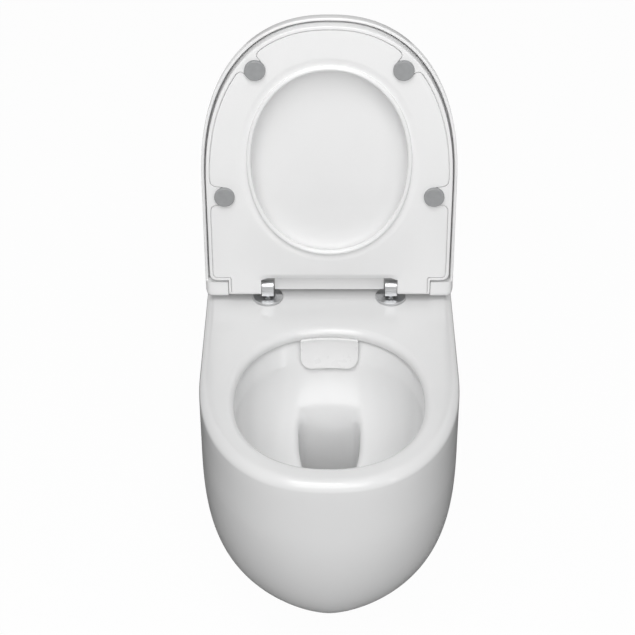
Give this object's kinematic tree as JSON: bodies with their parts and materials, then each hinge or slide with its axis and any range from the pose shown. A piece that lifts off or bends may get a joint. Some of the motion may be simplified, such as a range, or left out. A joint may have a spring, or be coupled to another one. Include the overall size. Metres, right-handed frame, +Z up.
{
  "type": "wall hung toilet",
  "caption": "Compact wall hung toilet with a raised soft-close seat and lid on chrome disc hinges, a horizontal outlet and a rear flush inlet",
  "frame": {"origin": "on the wall plane, midway between the two wall bolts that hold the toilet", "axes": "+X to the right as seen from the front, across the pan's symmetry; +Y into the wall, so the toilet projects towards -Y; +Z up"},
  "size_m": [0.365, 0.4909, 0.7849],
  "materials": {
    "white_glaze": "gloss",
    "deflector_plastic": "satin",
    "seat_plastic": "gloss",
    "lid_plastic": "gloss",
    "cap_plastic": "gloss",
    "bumper_rubber": "matte",
    "hinge_chrome": "polished",
    "screw_steel": "satin",
    "bracket_steel": "satin",
    "nut_brass": "satin",
    "gasket_rubber": "matte",
    "plug_rubber": "matte",
    "nylon": "matte"
  },
  "bodies": {
    "root": {"pan": "white_glaze", "flush_deflector": "deflector_plastic", "wall_bracket_left": "bracket_steel", "wall_bracket_right": "bracket_steel", "side_screw_left": "screw_steel", "side_screw_right": "screw_steel", "side_bush_left": "nylon", "side_bush_right": "nylon", "side_cap_left": "cap_plastic", "side_cap_right": "cap_plastic", "hinge_gasket_left": "gasket_rubber", "hinge_gasket_right": "gasket_rubber", "hinge_disc_left": "hinge_chrome", "hinge_disc_right": "hinge_chrome", "hinge_bolt_left": "screw_steel", "hinge_bolt_right": "screw_steel", "deck_plug_left": "plug_rubber", "deck_plug_right": "plug_rubber", "deck_nut_left": "nut_brass", "deck_nut_right": "nut_brass", "hinge_post_left": "hinge_chrome", "hinge_post_right": "hinge_chrome", "hinge_pin_left": "screw_steel", "hinge_pin_right": "screw_steel"},
    "seat": {"seat_shell": "seat_plastic", "seat_underside": "seat_plastic", "seat_bumper_front_left": "bumper_rubber", "seat_bumper_front_right": "bumper_rubber", "seat_bumper_rear_left": "bumper_rubber", "seat_bumper_rear_right": "bumper_rubber", "seat_damper": "nylon", "seat_bush": "nylon"},
    "lid": {"lid": "lid_plastic", "lid_pad_left": "bumper_rubber", "lid_pad_right": "bumper_rubber", "lid_damper": "nylon", "lid_bush": "nylon"}
  },
  "joints": [
    {"name": "seat_hinge", "type": "hinge", "parent": "root", "child": "seat", "pos_m": [0, -0.07, 0.102], "axis": [1, 0, 0], "range_deg": [0, 93]},
    {"name": "lid_hinge", "type": "hinge", "parent": "seat", "child": "lid", "pos_m": [0, -0.07, 0.102], "axis": [1, 0, 0], "range_deg": [-93, 0]}
  ]
}
